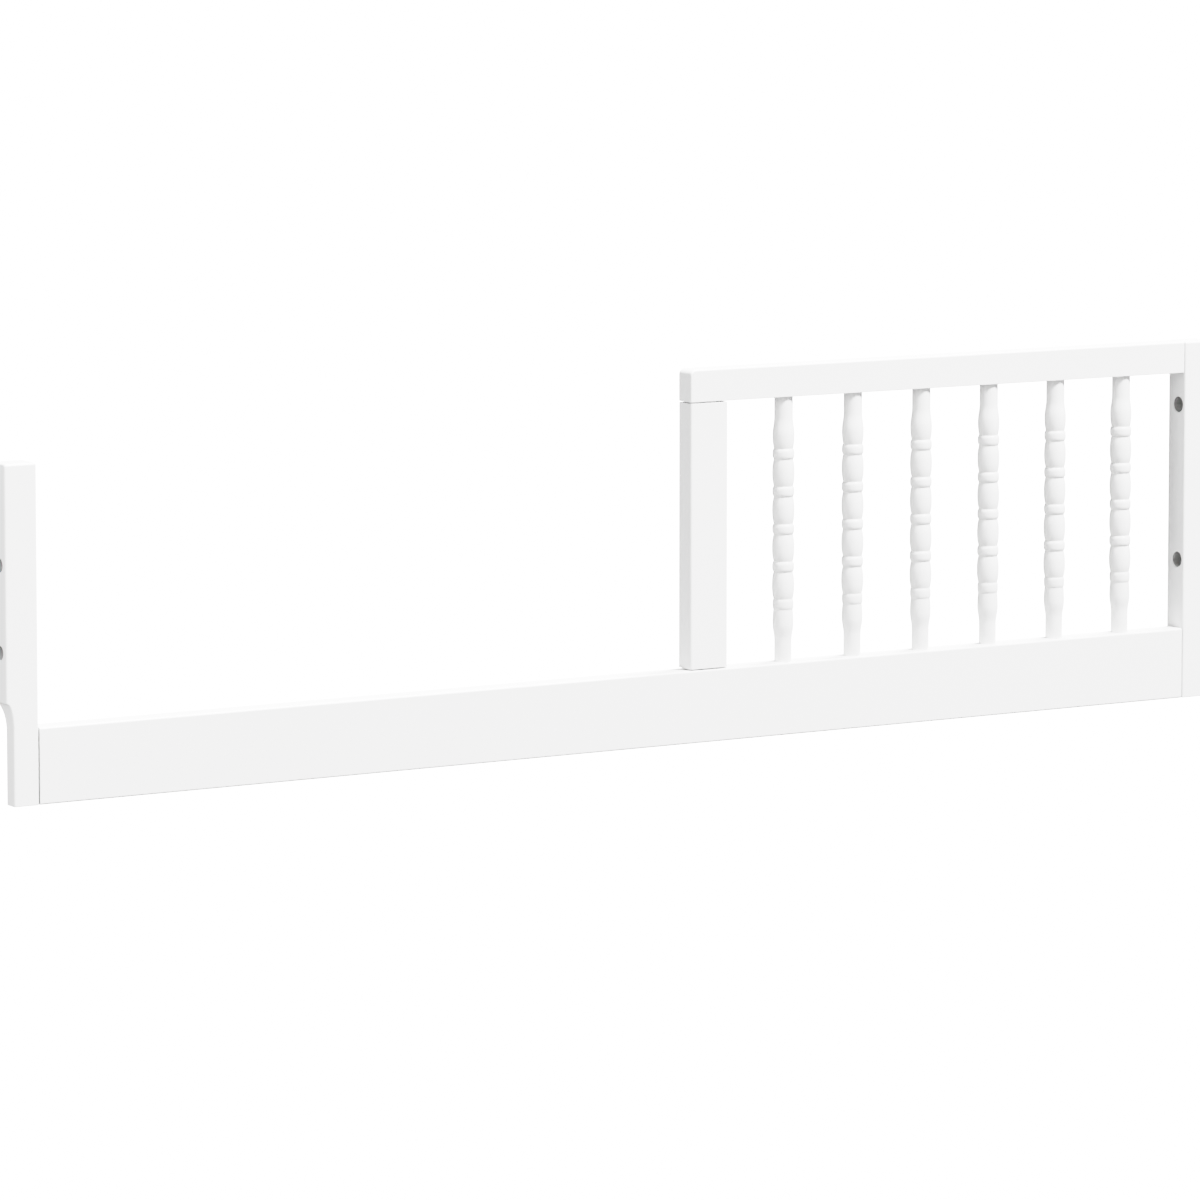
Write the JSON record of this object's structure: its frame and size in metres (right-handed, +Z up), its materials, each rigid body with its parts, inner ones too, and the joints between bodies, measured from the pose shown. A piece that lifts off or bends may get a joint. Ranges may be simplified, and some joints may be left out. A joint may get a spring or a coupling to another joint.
{
  "type": "toddler bed guard rail",
  "caption": "Low white-painted wooden rail for the open side of a crib used as a toddler bed, with bored end posts and a raised guard of turned spindles at one end.",
  "frame": {"origin": "bottom centre of the whole rail, level with the underside of the low rail and posts", "axes": "+X runs along the rail to the right as seen from the room, towards the guard; -Y faces the room; +Z is up"},
  "size_m": [1.33, 0.028, 0.359],
  "materials": {
    "white_paint": "smooth satin white paint over solid wood",
    "beech": "bare beech dowel, glued"
  },
  "bodies": {
    "root": {"left_post": "white_paint", "right_post": "white_paint", "low_rail": "white_paint", "top_rail": "white_paint", "guard_stile": "white_paint", "spindle_1": "white_paint", "spindle_2": "white_paint", "spindle_3": "white_paint", "spindle_4": "white_paint", "spindle_5": "white_paint", "spindle_6": "white_paint", "left_rail_dowels": "beech", "right_rail_dowels": "beech", "top_rail_dowels": "beech", "stile_head_dowels": "beech", "stile_foot_dowels": "beech"}
  },
  "joints": []
}
